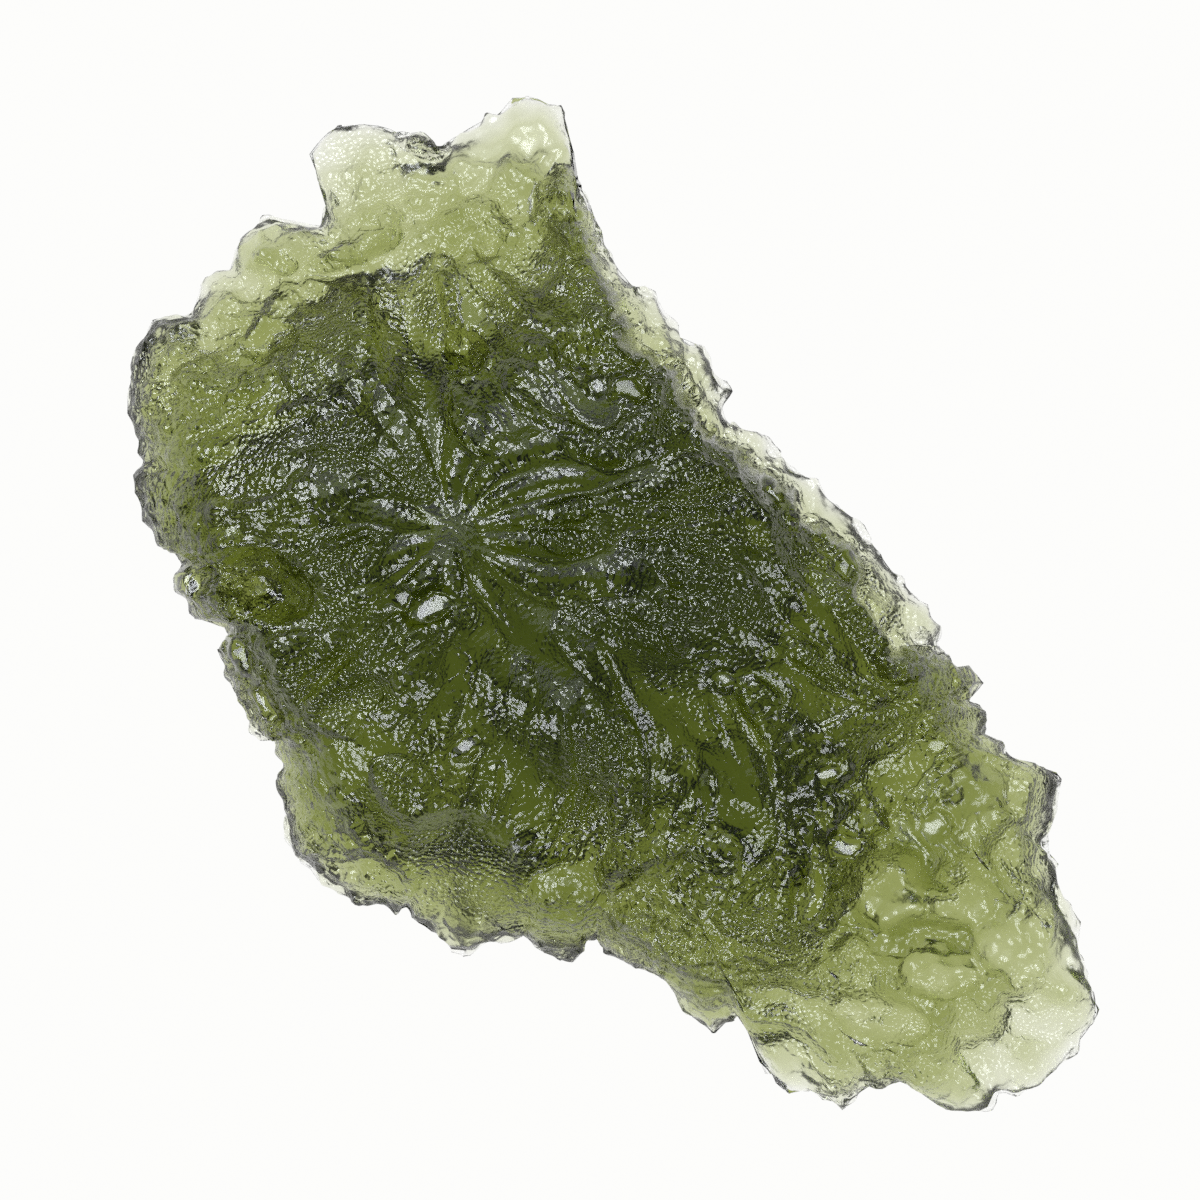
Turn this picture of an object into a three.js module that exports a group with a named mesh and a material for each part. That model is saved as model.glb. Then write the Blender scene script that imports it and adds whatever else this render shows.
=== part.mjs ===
// A moldavite: one flat lump of green natural glass, carved all over by weathering
import * as THREE from 'three';
import { mergeGeometries, mergeVertices } from 'three/addons/utils/BufferGeometryUtils.js';

// Driving dimensions, in millimetres
const LENGTH = 30;
const WIDTH = 17;
const MIN_THICKNESS = 0.5;
const RIM_WIDTH = 2.1;
const KNOT_REACH = 2.2;
const LEDGE_HEIGHT = 2.2;
const LEDGE_WALL = 0.9;
const VALLEY_DEPTH = 0.5;
const VALLEY_WIDTH = 1.3;
const TOP_FLUTE_DEPTH = 0.16;
const UNDER_FLUTE_DEPTH = 0.2;
const FLUTE_START = 0.3;
const FLUTE_FULL = 1.5;
const WELD = 1e-4;

// Flutes round each star, the rim's height between the two faces, and its edge: 1 is round, 2 is a wedge
const FLUTE_COUNT = 6;
const RIM_SHARE = 0.2;
const RIM_SHARPNESS = 1.5;

// The rim's small teeth fade inward faster than its broad shape, which is a mean over this angle
const TEETH_POWER = 7;
const BROAD_ANGLE = 0.4;
const BROAD_SAMPLES = 8;

// Grid of each face, along and across the stone
const COLUMNS = 64;
const ROWS = 38;

// Glass colour seen from above
const GLASS_COLOUR = 0x586335;
const GLASS_ROUGHNESS = 0.2;

// The photo looks straight down: pixels along the long axis, its turn, the middle of the stone
const LENGTH_PX = 1201;
const LONG_AXIS_TURN = THREE.MathUtils.degToRad(54);
const MIDDLE_PX = [576.7, 685.6];
const HUB_PX = [575, 632];

// Outline in photo pixels, clockwise from the left shoulder
const UPPER_END_PX = [
  [149, 318], [186, 312], [203, 276], [226, 266], [236, 235], [268, 212], [300, 223], [318, 222],
  [326, 200], [306, 150], [335, 120], [376, 121], [410, 131], [437, 142], [458, 130], [498, 109],
  [512, 92], [538, 93], [563, 108], [571, 136], [574, 172],
];
const RIGHT_SIDE_PX = [
  [592, 203], [604, 243], [617, 264], [636, 284], [655, 290], [669, 309], [681, 333], [703, 343],
  [717, 371], [731, 386], [724, 404], [729, 426], [767, 435], [781, 455], [808, 474], [857, 518],
  [880, 548], [900, 576], [928, 607], [945, 627], [941, 643], [958, 666], [979, 671], [988, 684],
  [973, 703], [993, 714], [990, 737], [1008, 744], [1016, 760],
];
const LOWER_END_PX = [
  [1043, 769], [1065, 780], [1062, 809], [1050, 846], [1058, 862], [1061, 896], [1081, 926],
  [1084, 952], [1101, 1005], [1105, 1014], [1074, 1056], [1054, 1079], [1018, 1102], [1002, 1099],
  [995, 1115], [964, 1116], [939, 1111], [926, 1100], [903, 1087], [885, 1093], [870, 1084],
  [845, 1115], [832, 1104], [814, 1093], [791, 1099], [768, 1074], [744, 1020],
];
const LEFT_SIDE_PX = [
  [734, 1020], [715, 1038], [693, 1020], [682, 1004], [669, 984], [644, 973], [604, 955],
  [599, 938], [585, 942], [582, 956], [559, 964], [533, 950], [523, 937], [495, 943], [462, 959],
  [450, 954], [436, 937], [416, 928], [403, 911], [394, 917], [382, 908], [350, 905], [339, 895],
  [311, 877], [288, 859], [282, 841], [282, 818], [277, 793], [281, 767], [271, 742], [258, 741],
  [248, 724], [235, 699], [222, 668], [212, 649], [224, 636], [220, 623], [193, 620], [179, 594],
  [170, 576], [183, 560], [171, 552], [151, 541], [136, 507], [128, 474], [139, 459], [131, 431],
  [125, 378],
];

// Broad heights: photo pixel, height of the upper face, height of the underside
const KNOTS = [
  [500, 560, 7.3, 0.2], [600, 430, 7.0, 0.3], [690, 640, 7.3, 0.2], [760, 800, 6.7, 0.4],
  [390, 470, 7.0, 0.2], [250, 450, 6.3, 0.7], [150, 430, 3.8, 1.4], [330, 650, 6.3, 0.5],
  [470, 700, 6.8, 0.2], [600, 780, 6.8, 0.2], [480, 880, 4.6, 1.1], [565, 915, 2.5, 1.5],
  [360, 830, 5.4, 0.9], [250, 690, 5.0, 1.1], [420, 320, 5.8, 0.8], [570, 250, 5.0, 0.9],
  [430, 200, 3.2, 1.4], [540, 130, 2.5, 1.4], [350, 160, 1.8, 1.4], [270, 270, 3.6, 1.4],
  [180, 350, 3.5, 1.4], [700, 340, 6.0, 1.0], [830, 480, 6.1, 0.9], [930, 600, 5.6, 1.0],
  [840, 650, 6.5, 0.5], [980, 780, 4.3, 1.2], [1050, 810, 3.5, 1.6], [930, 900, 5.4, 1.2],
  [1070, 960, 3.0, 1.6], [850, 1040, 3.7, 1.5], [1000, 1080, 3.1, 1.5], [690, 930, 5.0, 0.9],
  [715, 1015, 2.7, 1.5], [940, 690, 3.8, 1.3], [440, 145, 2.1, 1.4],
];

// Crest of the upper face along the right side, with a low thin ledge outside it
const CREST_PX = [
  [568, 150], [590, 225], [606, 272], [640, 335], [690, 390], [730, 440], [778, 474], [818, 515],
  [857, 545], [866, 588], [886, 622], [892, 652], [960, 655],
];

// Stars from which the flutes fan out: photo pixel, and how many turns of flutes each one adds
const TOP_STARS = [[458, 532, 2], [622, 492, -1], [775, 812, -1]];
const UNDER_STARS = [[350, 520, 1], [560, 640, -2], [860, 900, 1]];

// Shallow valley that links the stars of the upper face
const VALLEY_PX = [
  [400, 270], [422, 400], [478, 545], [590, 635], [690, 712], [752, 770], [800, 850],
];

// Uneven waves of each face: turn in degrees, wavelength, start, height
const TOP_WAVES = [[20, 5.2, 0.4, 0.1], [75, 4.1, 1.9, 0.08], [130, 3.3, 3.1, 0.06]];
const UNDER_WAVES = [[40, 5.6, 2.2, 0.14], [95, 4.3, 0.7, 0.1], [150, 3.4, 4.4, 0.07]];

// Waves of the rim's height: how many round the stone, start, share of the thickness
const RIM_WAVES = [[5, 0.6, 0.06], [9, 2.0, 0.04], [16, 4.1, 0.03]];

// Hollows: photo pixel, half length and half width in pixels, turn in degrees, depth
const TOP_HOLLOWS = [
  [412, 320, 105, 44, 80, 0.35], [463, 352, 28, 26, 0, 0.6], [590, 362, 42, 28, 20, 0.4],
  [225, 346, 76, 34, -8, 0.55], [278, 288, 78, 38, -12, 0.5], [262, 585, 64, 38, 25, 0.9],
  [812, 545, 64, 38, 62, 0.6], [738, 728, 66, 22, 62, 0.35], [885, 892, 54, 48, 0, 1.0],
  [962, 898, 48, 44, 0, 0.9], [1006, 944, 56, 44, 40, 0.9], [1034, 1016, 42, 36, 0, 0.8],
  [882, 1016, 66, 32, 20, 0.8], [945, 975, 56, 44, 20, 0.7], [868, 958, 40, 34, 0, 0.6],
  [1012, 858, 34, 40, 0, 0.6], [985, 1060, 50, 32, 15, 0.6], [1066, 960, 28, 44, 0, 0.5],
  [465, 868, 68, 54, 60, 0.5], [430, 610, 40, 20, -10, 0.25], [660, 880, 62, 28, -20, 0.35],
  [975, 735, 52, 32, 70, 0.45],
];
const UNDER_HOLLOWS = [
  [330, 430, 100, 70, 20, 0.35], [560, 330, 110, 66, 60, 0.3], [560, 600, 84, 62, 40, 0.25],
  [420, 780, 90, 66, -30, 0.3], [800, 700, 110, 70, 50, 0.3], [700, 860, 80, 66, 0, 0.3],
  [930, 960, 80, 68, 30, 0.3], [250, 560, 80, 60, 80, 0.3], [440, 240, 80, 60, 0, 0.2],
  [980, 820, 74, 60, 60, 0.25], [430, 560, 76, 56, 70, 0.25], [640, 500, 80, 54, 10, 0.25],
];

// Lumps: the same six values, with a height in place of the depth
const TOP_LUMPS = [
  [564, 912, 46, 48, 0, 0.7], [268, 238, 48, 40, 0, 0.5], [160, 338, 40, 34, 0, 0.5],
  [146, 405, 44, 32, 80, 0.4], [192, 594, 38, 30, 0, 0.5], [1046, 792, 40, 38, 0, 0.6],
  [976, 686, 30, 28, 0, 0.5], [540, 112, 46, 30, 20, 0.2], [885, 1080, 30, 26, 0, 0.4],
  [838, 1095, 34, 28, 30, 0.3], [712, 362, 34, 26, 60, 0.4], [330, 880, 64, 26, 40, 0.25],
  [571, 212, 30, 46, -15, 1.3], [355, 247, 62, 18, -22, 0.5], [422, 140, 24, 14, 20, 0.8],
];
const UNDER_LUMPS = [
  [415, 465, 90, 74, 20, 0.8], [705, 585, 90, 74, 50, 0.8], [530, 770, 90, 74, -20, 0.8],
  [750, 780, 80, 66, 60, 0.7],
];

const MM_PER_PX = LENGTH / LENGTH_PX;
const HALF_LENGTH = LENGTH / 2;
const HALF_WIDTH = WIDTH / 2;

// The same turn carries photo pixels to the stone's own axes: X along it, Y across it
function fromPhoto([column, row]) {
  const right = (column - MIDDLE_PX[0]) * MM_PER_PX;
  const down = (row - MIDDLE_PX[1]) * MM_PER_PX;
  const along = right * Math.cos(LONG_AXIS_TURN) + down * Math.sin(LONG_AXIS_TURN);
  const across = right * Math.sin(LONG_AXIS_TURN) - down * Math.cos(LONG_AXIS_TURN);
  return [along, across];
}

const HUB = fromPhoto(HUB_PX);
const CREST = CREST_PX.map(fromPhoto);
const VALLEY = VALLEY_PX.map(fromPhoto);

// The outline as a ring of angles and radii about the hub, in units of the half length and half width
const ring = [...UPPER_END_PX, ...RIGHT_SIDE_PX, ...LOWER_END_PX, ...LEFT_SIDE_PX].map((pixel) => {
  const [x, y] = fromPhoto(pixel);
  const along = (x - HUB[0]) / HALF_LENGTH;
  const across = (y - HUB[1]) / HALF_WIDTH;
  return { angle: Math.atan2(across, along), radius: Math.hypot(along, across) };
});
ring.sort((first, second) => first.angle - second.angle);

function outlineRadius(anyAngle) {
  const turn = 2 * Math.PI;
  const angle = THREE.MathUtils.euclideanModulo(anyAngle + Math.PI, turn) - Math.PI;
  const found = ring.findIndex((point) => point.angle > angle);
  const next = found < 0 ? 0 : found;
  const last = (next + ring.length - 1) % ring.length;
  const span = THREE.MathUtils.euclideanModulo(ring[next].angle - ring[last].angle, turn);
  const part = THREE.MathUtils.euclideanModulo(angle - ring[last].angle, turn);
  return THREE.MathUtils.lerp(ring[last].radius, ring[next].radius, part / span);
}

function broadRadius(angle) {
  let sum = 0;
  for (let k = 0; k <= BROAD_SAMPLES; k += 1) {
    sum += outlineRadius(angle + BROAD_ANGLE * (2 * k / BROAD_SAMPLES - 1));
  }
  return sum / (BROAD_SAMPLES + 1);
}

// A square is spread over a round disc, so that the grid has no crowded middle
function toDisc(a, b) {
  if (a === 0 && b === 0) return { radius: 0, angle: 0 };
  const quarter = Math.PI / 4;
  const flat = Math.abs(a) > Math.abs(b);
  const signed = flat ? a : b;
  const angle = flat ? quarter * (b / a) : 2 * quarter - quarter * (a / b);
  const x = signed * Math.cos(angle);
  const y = signed * Math.sin(angle);
  return { radius: Math.abs(signed), angle: Math.atan2(y, x) };
}

// Broad height: the mean of the knots, each weighted by how near it is
const knots = KNOTS.map(([column, row, top, under]) => ({
  at: fromPhoto([column, row]),
  top,
  under,
}));

function broadHeight(x, y, face) {
  let sum = 0;
  let weights = 0;
  for (const knot of knots) {
    const gap = Math.hypot(x - knot.at[0], y - knot.at[1]) / KNOT_REACH;
    const weight = Math.exp(-gap * gap / 2);
    sum += weight * knot[face];
    weights += weight;
  }
  return sum / weights;
}

// Flutes fan out from the stars: they follow the sum of the angles at which the stars are seen
const asStars = (rows) => rows.map(([column, row, turns]) => ({ at: fromPhoto([column, row]), turns }));
const topStars = asStars(TOP_STARS);
const underStars = asStars(UNDER_STARS);

function fluteHeight(x, y, stars) {
  let angle = 0;
  let nearest = Infinity;
  for (const star of stars) {
    const along = x - star.at[0];
    const across = y - star.at[1];
    angle += star.turns * Math.atan2(across, along);
    nearest = Math.min(nearest, Math.hypot(along, across));
  }
  const grown = THREE.MathUtils.smoothstep(nearest, FLUTE_START, FLUTE_FULL);
  return grown * Math.cos(angle * FLUTE_COUNT) / 2;
}

function waveHeight(x, y, waves) {
  let height = 0;
  for (const [turn, length, start, size] of waves) {
    const heading = THREE.MathUtils.degToRad(turn);
    const along = x * Math.cos(heading) + y * Math.sin(heading);
    height += size * Math.sin(2 * Math.PI * along / length + start);
  }
  return height;
}

// Hollows and lumps are read as turned ellipses; hollows side by side meet in cusps
const asEllipses = (rows) => rows.map(([column, row, long, short, turn, size]) => ({
  at: fromPhoto([column, row]),
  long: long * MM_PER_PX,
  short: short * MM_PER_PX,
  turn: LONG_AXIS_TURN - THREE.MathUtils.degToRad(turn),
  size,
}));
const topHollows = asEllipses(TOP_HOLLOWS);
const underHollows = asEllipses(UNDER_HOLLOWS);
const topLumps = asEllipses(TOP_LUMPS);
const underLumps = asEllipses(UNDER_LUMPS);

function insideEllipse(x, y, ellipse) {
  const along = x - ellipse.at[0];
  const across = y - ellipse.at[1];
  const cos = Math.cos(ellipse.turn);
  const sin = Math.sin(ellipse.turn);
  const u = (along * cos + across * sin) / ellipse.long;
  const v = (across * cos - along * sin) / ellipse.short;
  return Math.max(0, 1 - u * u - v * v);
}

const hollowDepth = (x, y, rows) => rows.reduce(
  (deepest, row) => Math.max(deepest, row.size * insideEllipse(x, y, row)), 0);
const lumpHeight = (x, y, rows) => rows.reduce(
  (sum, row) => sum + row.size * THREE.MathUtils.smoothstep(insideEllipse(x, y, row), 0, 1), 0);

// Distance to a line of points, above zero on its left side
function besideLine(x, y, line) {
  let nearest = Infinity;
  let side = 1;
  for (let i = 0; i + 1 < line.length; i += 1) {
    const [startX, startY] = line[i];
    const runX = line[i + 1][0] - startX;
    const runY = line[i + 1][1] - startY;
    const share = ((x - startX) * runX + (y - startY) * runY) / (runX * runX + runY * runY);
    const along = THREE.MathUtils.clamp(share, 0, 1);
    const gap = Math.hypot(x - startX - along * runX, y - startY - along * runY);
    if (gap < nearest) {
      nearest = gap;
      side = Math.sign(runX * (y - startY) - runY * (x - startX));
    }
  }
  return side * nearest;
}

// The lowest places of the underside are worn flat, and the stone rests on them
function underHeight(x, y) {
  const flutes = UNDER_FLUTE_DEPTH * fluteHeight(x, y, underStars);
  const carved = flutes + waveHeight(x, y, UNDER_WAVES) - hollowDepth(x, y, underHollows);
  const bulged = carved + lumpHeight(x, y, underLumps);
  return Math.max(0, broadHeight(x, y, 'under') - bulged);
}

function topHeight(x, y) {
  const flutes = TOP_FLUTE_DEPTH * fluteHeight(x, y, topStars);
  const valley = VALLEY_DEPTH * Math.exp(-((besideLine(x, y, VALLEY) / VALLEY_WIDTH) ** 2));
  const carved = flutes + waveHeight(x, y, TOP_WAVES) - valley - hollowDepth(x, y, topHollows);
  const face = broadHeight(x, y, 'top') + carved;
  const outside = THREE.MathUtils.smoothstep(besideLine(x, y, CREST), -LEDGE_WALL, 0);
  const stepped = THREE.MathUtils.lerp(face, Math.min(face, LEDGE_HEIGHT), outside);
  const lumped = stepped + lumpHeight(x, y, topLumps);
  return Math.max(lumped, underHeight(x, y) + MIN_THICKNESS);
}

// One point of a face: both faces meet at the rim, which is rounded over RIM_WIDTH
function facePoint(a, b, isTop) {
  const { radius, angle } = toDisc(a, b);
  const reach = outlineRadius(angle);
  const broad = broadRadius(angle);
  const spread = radius * broad + (reach - broad) * radius ** TEETH_POWER;
  const x = HUB[0] + spread * HALF_LENGTH * Math.cos(angle);
  const y = HUB[1] + spread * HALF_WIDTH * Math.sin(angle);
  const armLength = Math.hypot(HALF_LENGTH * Math.cos(angle), HALF_WIDTH * Math.sin(angle));
  const inset = Math.min(1, (reach - spread) * armLength / RIM_WIDTH);
  const rounded = (1 - (1 - inset) ** 2) ** (RIM_SHARPNESS / 2);
  const under = underHeight(x, y);
  const top = topHeight(x, y);
  const rimShare = RIM_WAVES.reduce(
    (sum, [count, start, size]) => sum + size * Math.sin(count * angle + start), RIM_SHARE);
  const rim = THREE.MathUtils.lerp(under, top, rimShare);
  return [x, y, THREE.MathUtils.lerp(rim, isTop ? top : under, rounded)];
}

function planGap(position, first, second) {
  const along = position.getX(first) - position.getX(second);
  const across = position.getY(first) - position.getY(second);
  return Math.hypot(along, across);
}

function face(isTop) {
  const sheet = new THREE.PlaneGeometry(2, 2, COLUMNS, ROWS);
  const position = sheet.getAttribute('position');
  const onRim = [];
  for (let i = 0; i < position.count; i += 1) {
    const a = position.getX(i);
    const b = position.getY(i);
    onRim.push(Math.max(Math.abs(a), Math.abs(b)) > 1 - WELD);
    position.setXYZ(i, ...facePoint(a, b, isTop));
  }
  // Each cell is cut along its shorter diagonal in plan, so that no sliver makes a comb of a slope
  const kept = [];
  for (let row = 0; row < ROWS; row += 1) {
    for (let column = 0; column < COLUMNS; column += 1) {
      const a = column + (COLUMNS + 1) * row;
      const b = a + COLUMNS + 1;
      const c = b + 1;
      const d = a + 1;
      const cutAC = planGap(position, a, c) < planGap(position, b, d);
      const halves = cutAC ? [[a, b, c], [a, c, d]] : [[a, b, d], [b, c, d]];
      for (const corners of halves) {
        // A triangle with all its points on the rim has no thickness, so both faces leave it out
        const flat = corners.every((corner) => onRim[corner]);
        if (!flat) kept.push(...(isTop ? corners : corners.reverse()));
      }
    }
  }
  sheet.setIndex(kept);
  sheet.deleteAttribute('uv');
  sheet.deleteAttribute('normal');
  return sheet;
}

const glass = new THREE.MeshStandardMaterial({
  color: GLASS_COLOUR,
  roughness: GLASS_ROUGHNESS,
  metalness: 0,
});
const solid = mergeVertices(mergeGeometries([face(true), face(false)]), WELD);
solid.computeVertexNormals();
const stone = new THREE.Mesh(solid, glass);
stone.name = 'stone';

const moldavite = new THREE.Group();
moldavite.name = 'moldavite';
moldavite.add(stone);

export default moldavite;
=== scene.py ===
# %% [markdown]
# # A moldavite in Blender
# A moldavite is a lump of green natural glass. It cooled as a smooth drop, and then lay in acid soil
# that etched its whole surface into flutes, pits and sharp little crests. Light shines through it, so
# both its faces and its thickness show at once. The solid in the frame already has the broad shape.
# This lesson makes the same stone again on a grid fine enough for the etched surface, gives it clear
# green glass, and lays it on a pale glowing table under small soft lights.

# %% The frame and its box
import math

import bpy
import numpy as np
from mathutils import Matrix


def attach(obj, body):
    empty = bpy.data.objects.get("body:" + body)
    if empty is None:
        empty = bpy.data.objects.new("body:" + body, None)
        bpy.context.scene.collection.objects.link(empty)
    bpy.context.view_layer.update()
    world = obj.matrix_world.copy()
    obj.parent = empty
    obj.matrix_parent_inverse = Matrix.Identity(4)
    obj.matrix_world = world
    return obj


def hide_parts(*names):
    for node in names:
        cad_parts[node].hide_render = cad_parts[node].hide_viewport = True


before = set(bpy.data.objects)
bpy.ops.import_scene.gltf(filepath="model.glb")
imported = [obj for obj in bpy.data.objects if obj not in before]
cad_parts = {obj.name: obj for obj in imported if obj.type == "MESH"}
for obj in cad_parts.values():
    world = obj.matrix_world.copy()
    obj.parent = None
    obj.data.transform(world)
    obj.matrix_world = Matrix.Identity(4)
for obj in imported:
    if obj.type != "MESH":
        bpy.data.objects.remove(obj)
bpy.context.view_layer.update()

# %% [markdown]
# ## From the picture to the stone
# The stone was seen from straight above, so a place in the picture is a place on the stone. Its long
# axis lies 54 degrees clockwise from the picture's right. Each feature could be measured in millimetres
# by hand, but it is easier to check where it was seen. So one function turns picture places into
# millimetres along the stone (X) and across it (Y).

# %% Picture places in millimetres
MM = 0.001
LENGTH = 30.0
WIDTH = 17.0
LENGTH_PX = 1201
LONG_AXIS_TURN = math.radians(54)
MIDDLE_PX = (576.7, 685.6)
HUB_PX = (575, 632)
MM_PER_PX = LENGTH / LENGTH_PX


def from_photo(pixels):
    """Picture columns and rows to millimetres: shifted to the stone's middle, scaled, then turned."""
    shifted = (np.asarray(pixels, float) - MIDDLE_PX) * MM_PER_PX
    right, down = shifted[..., 0], shifted[..., 1]
    cos, sin = math.cos(LONG_AXIS_TURN), math.sin(LONG_AXIS_TURN)
    return np.stack([right * cos + down * sin, right * sin - down * cos], axis=-1)


HUB = from_photo(HUB_PX)
print("hub of the grid, mm:", HUB.round(2))

# %% [markdown]
# ## The outline
# The rim of the stone is broken into lumps, teeth and notches. A traced curve could be filled with
# faces, but such faces have no even grid for the fine surface. So the rim is a ring of places given
# along the edge, read as a radius for each angle about the hub. A grid drawn on a square is then spread
# over that shape: the square becomes a disc, and each spoke of the disc is stretched to the rim. The
# teeth are kept near the rim, because deeper in the stone the faces do not know about them.

# %% Outline of the stone
UPPER_END_PX = [
    (149, 318), (186, 312), (203, 276), (226, 266), (236, 235), (268, 212), (300, 223), (318, 222),
    (326, 200), (306, 150), (335, 120), (376, 121), (410, 131), (437, 142), (458, 130), (498, 109),
    (512, 92), (538, 93), (563, 108), (571, 136), (574, 172),
]
RIGHT_SIDE_PX = [
    (592, 203), (604, 243), (617, 264), (636, 284), (655, 290), (669, 309), (681, 333), (703, 343),
    (717, 371), (731, 386), (724, 404), (729, 426), (767, 435), (781, 455), (808, 474), (857, 518),
    (880, 548), (900, 576), (928, 607), (945, 627), (941, 643), (958, 666), (979, 671), (988, 684),
    (973, 703), (993, 714), (990, 737), (1008, 744), (1016, 760),
]
LOWER_END_PX = [
    (1043, 769), (1065, 780), (1062, 809), (1050, 846), (1058, 862), (1061, 896), (1081, 926),
    (1084, 952), (1101, 1005), (1105, 1014), (1074, 1056), (1054, 1079), (1018, 1102), (1002, 1099),
    (995, 1115), (964, 1116), (939, 1111), (926, 1100), (903, 1087), (885, 1093), (870, 1084),
    (845, 1115), (832, 1104), (814, 1093), (791, 1099), (768, 1074), (744, 1020),
]
LEFT_SIDE_PX = [
    (734, 1020), (715, 1038), (693, 1020), (682, 1004), (669, 984), (644, 973), (604, 955),
    (599, 938), (585, 942), (582, 956), (559, 964), (533, 950), (523, 937), (495, 943), (462, 959),
    (450, 954), (436, 937), (416, 928), (403, 911), (394, 917), (382, 908), (350, 905), (339, 895),
    (311, 877), (288, 859), (282, 841), (282, 818), (277, 793), (281, 767), (271, 742), (258, 741),
    (248, 724), (235, 699), (222, 668), (212, 649), (224, 636), (220, 623), (193, 620), (179, 594),
    (170, 576), (183, 560), (171, 552), (151, 541), (136, 507), (128, 474), (139, 459), (131, 431),
    (125, 378),
]
HALF_SIZE = np.array([LENGTH, WIDTH]) / 2
BROAD_ANGLE = 0.4
BROAD_SAMPLES = 9

outline = (from_photo(UPPER_END_PX + RIGHT_SIDE_PX + LOWER_END_PX + LEFT_SIDE_PX) - HUB) / HALF_SIZE
ring_angle = np.arctan2(outline[:, 1], outline[:, 0])
ring_radius = np.hypot(outline[:, 0], outline[:, 1])


def outline_radius(angle):
    """Radius of the rim at an angle: straight runs between the ring's points, closed after one turn."""
    return np.interp(angle, ring_angle, ring_radius, period=2 * math.pi)


def broad_radius(angle):
    """The same radius without its teeth: the mean over a sector about the angle."""
    steps = np.linspace(-BROAD_ANGLE, BROAD_ANGLE, BROAD_SAMPLES)
    return np.mean([outline_radius(angle + step) for step in steps], axis=0)


print("outline points:", len(outline), "smallest radius:", ring_radius.min().round(2))

# %% [markdown]
# ## Broad heights
# The thin places of the stone are pale and the thick ones dark, so the heights of both faces are read
# from the colour. Sculpting by hand would do, but could not be repeated. Here the heights are given at
# some knots and blended between them. A crest runs along the right side, with a low thin ledge outside
# it, and a shallow valley links the stars from which the flutes fan out. Hollows and lumps are turned
# ellipses.

# %% Knots, crest and valley
# Picture column and row, then the heights of the upper face and of the underside in millimetres
KNOTS = np.array([
    (500, 560, 7.3, 0.2), (600, 430, 7.0, 0.3), (690, 640, 7.3, 0.2), (760, 800, 6.7, 0.4),
    (390, 470, 7.0, 0.2), (250, 450, 6.3, 0.7), (150, 430, 3.8, 1.4), (330, 650, 6.3, 0.5),
    (470, 700, 6.8, 0.2), (600, 780, 6.8, 0.2), (480, 880, 4.6, 1.1), (565, 915, 2.5, 1.5),
    (360, 830, 5.4, 0.9), (250, 690, 5.0, 1.1), (420, 320, 5.8, 0.8), (570, 250, 5.0, 0.9),
    (430, 200, 3.2, 1.4), (540, 130, 2.5, 1.4), (350, 160, 1.8, 1.4), (270, 270, 3.6, 1.4),
    (180, 350, 3.5, 1.4), (700, 340, 6.0, 1.0), (830, 480, 6.1, 0.9), (930, 600, 5.6, 1.0),
    (840, 650, 6.5, 0.5), (980, 780, 4.3, 1.2), (1050, 810, 3.5, 1.6), (930, 900, 5.4, 1.2),
    (1070, 960, 3.0, 1.6), (850, 1040, 3.7, 1.5), (1000, 1080, 3.1, 1.5), (690, 930, 5.0, 0.9),
    (715, 1015, 2.7, 1.5), (940, 690, 3.8, 1.3), (440, 145, 2.1, 1.4),
])
CREST_PX = [
    (568, 150), (590, 225), (606, 272), (640, 335), (690, 390), (730, 440), (778, 474), (818, 515),
    (857, 545), (866, 588), (886, 622), (892, 652), (960, 655),
]
VALLEY_PX = [
    (400, 270), (422, 400), (478, 545), (590, 635), (690, 712), (752, 770), (800, 850),
]
# Picture column and row, and how strongly the flutes wind about this star
TOP_STARS = [(458, 532, 2), (622, 492, -1), (775, 812, -1)]
UNDER_STARS = [(350, 520, 1), (560, 640, -2), (860, 900, 1)]
KNOT_REACH = 2.2
CREST = from_photo(CREST_PX)
VALLEY = from_photo(VALLEY_PX)
print("knots", len(KNOTS), "crest points", len(CREST), "valley points", len(VALLEY))

# %% Hollows, lumps and waves
# Picture column and row, long and short half axis in pixels, turn in degrees, depth in millimetres
TOP_HOLLOWS = [
    (412, 320, 105, 44, 80, 0.35), (463, 352, 28, 26, 0, 0.6), (590, 362, 42, 28, 20, 0.4),
    (225, 346, 76, 34, -8, 0.55), (278, 288, 78, 38, -12, 0.5), (262, 585, 64, 38, 25, 0.9),
    (812, 545, 64, 38, 62, 0.6), (738, 728, 66, 22, 62, 0.35), (885, 892, 54, 48, 0, 1.0),
    (962, 898, 48, 44, 0, 0.9), (1006, 944, 56, 44, 40, 0.9), (1034, 1016, 42, 36, 0, 0.8),
    (882, 1016, 66, 32, 20, 0.8), (945, 975, 56, 44, 20, 0.7), (868, 958, 40, 34, 0, 0.6),
    (1012, 858, 34, 40, 0, 0.6), (985, 1060, 50, 32, 15, 0.6), (1066, 960, 28, 44, 0, 0.5),
    (465, 868, 68, 54, 60, 0.5), (430, 610, 40, 20, -10, 0.25),
    (660, 880, 62, 28, -20, 0.35), (975, 735, 52, 32, 70, 0.45),
]
UNDER_HOLLOWS = [
    (330, 430, 100, 70, 20, 0.35), (560, 330, 110, 66, 60, 0.3), (560, 600, 84, 62, 40, 0.25),
    (420, 780, 90, 66, -30, 0.3), (800, 700, 110, 70, 50, 0.3), (700, 860, 80, 66, 0, 0.3),
    (930, 960, 80, 68, 30, 0.3), (250, 560, 80, 60, 80, 0.3), (440, 240, 80, 60, 0, 0.2),
    (980, 820, 74, 60, 60, 0.25), (430, 560, 76, 56, 70, 0.25), (640, 500, 80, 54, 10, 0.25),
]
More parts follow.
